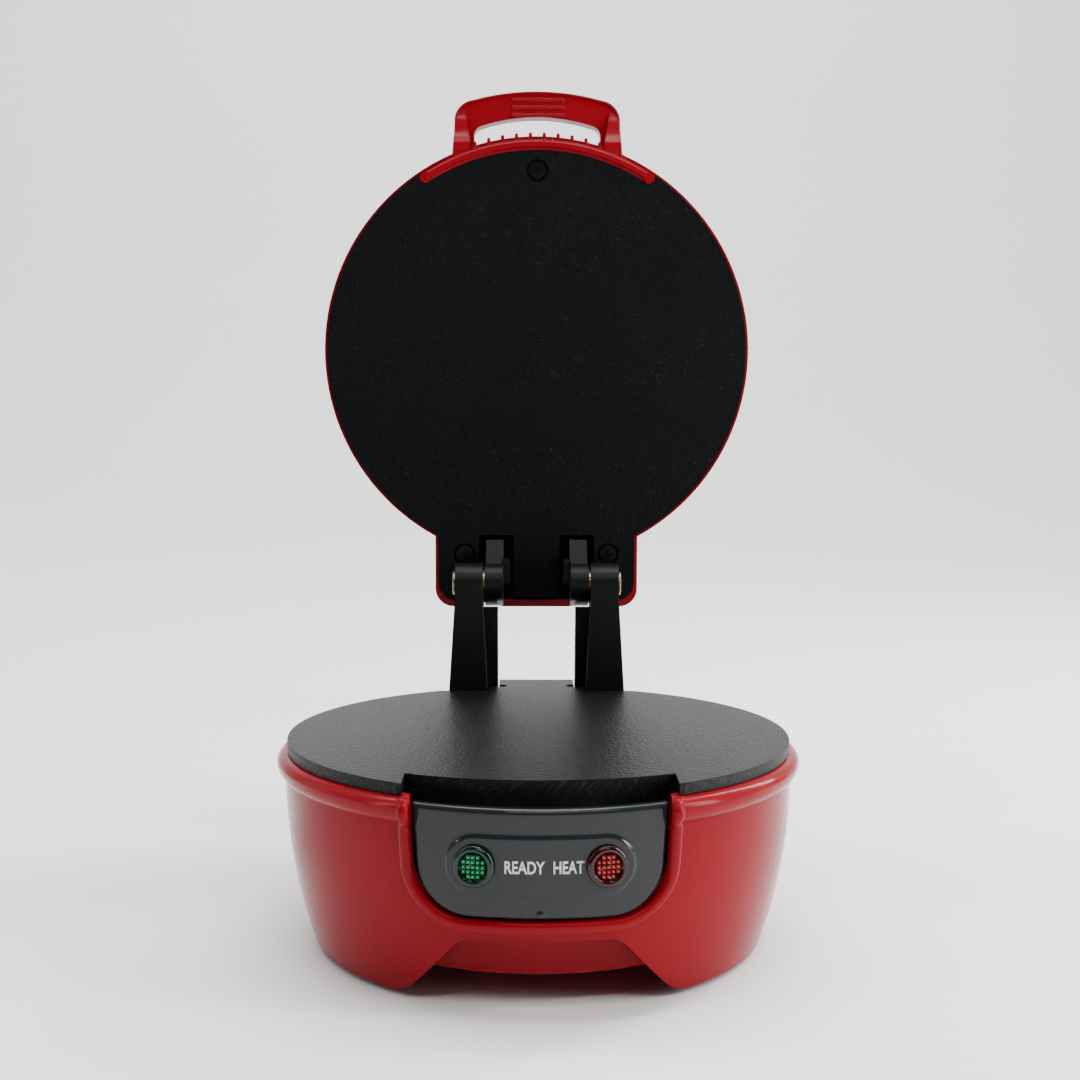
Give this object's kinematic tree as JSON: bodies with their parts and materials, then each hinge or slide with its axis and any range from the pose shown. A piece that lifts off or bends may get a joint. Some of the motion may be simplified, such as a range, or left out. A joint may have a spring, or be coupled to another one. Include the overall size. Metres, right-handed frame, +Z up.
{
  "type": "donut maker",
  "caption": "Countertop snack maker: drum base with front control panel, flat round hot plate, and a hinged lid with a matching plate and a loop handle, standing open.",
  "frame": {"origin": "on the surface the object stands on, below the centre of the round base", "axes": "+Z up, -Y towards the control panel, +X to the right of someone facing the panel; the lid stands open and leans 1.15 degrees back"},
  "size_m": [0.156, 0.2066, 0.2716],
  "materials": {
    "red_shell": "gloss red moulded plastic, softer on the drum",
    "panel_grey": "gloss dark grey",
    "plate_coating": "cast aluminium with a fine-grained black non-stick coating",
    "black_plastic": "satin black, fine texture",
    "green_lens": "clear green moulded lens",
    "red_lens": "clear dark red moulded lens",
    "white_plastic": "natural nylon",
    "pin_steel": "bright steel",
    "screw_black": "blackened steel",
    "brass": "plain",
    "sheet_steel": "aluminised sheet",
    "element_steel": "oxidised tube",
    "rubber": "matt",
    "ceramic": "unglazed",
    "wire_sleeve": "glass-fibre sleeve"
  },
  "bodies": {
    "base": {"base_housing": "red_shell", "bottom_cover": "red_shell", "control_panel": "panel_grey", "green_lamp_lens": "green_lens", "red_lamp_lens": "red_lens", "green_lamp_holder": "white_plastic", "red_lamp_holder": "white_plastic", "lower_plate": "plate_coating", "lower_heating_element": "element_steel", "lower_heat_shield": "sheet_steel", "lower_thermostat": "ceramic", "thermal_fuse": "ceramic", "hinge_post_left": "black_plastic", "hinge_post_right": "black_plastic", "lower_plate_screws": "screw_black", "bottom_cover_screws": "screw_black", "hinge_post_screws": "screw_black", "rubber_feet": "rubber", "terminal_block": "white_plastic", "cord_gland": "rubber", "base_wiring": "wire_sleeve"},
    "lid": {"upper_plate": "plate_coating", "lid_shell": "red_shell", "lid_lug_left": "black_plastic", "lid_lug_right": "black_plastic", "lug_screws": "screw_black", "upper_plate_screws": "screw_black", "hinge_pin_left": "pin_steel", "hinge_pin_right": "pin_steel", "hinge_washers": "brass", "upper_heating_element": "element_steel", "upper_heat_shield": "sheet_steel", "upper_thermal_cutout": "ceramic", "lid_wiring": "wire_sleeve"}
  },
  "joints": [
    {"name": "lid_hinge", "type": "hinge", "parent": "base", "child": "lid", "pos_m": [0, 0.076, 0.0975], "axis": [1, 0, 0], "range_deg": [0, 107]}
  ]
}
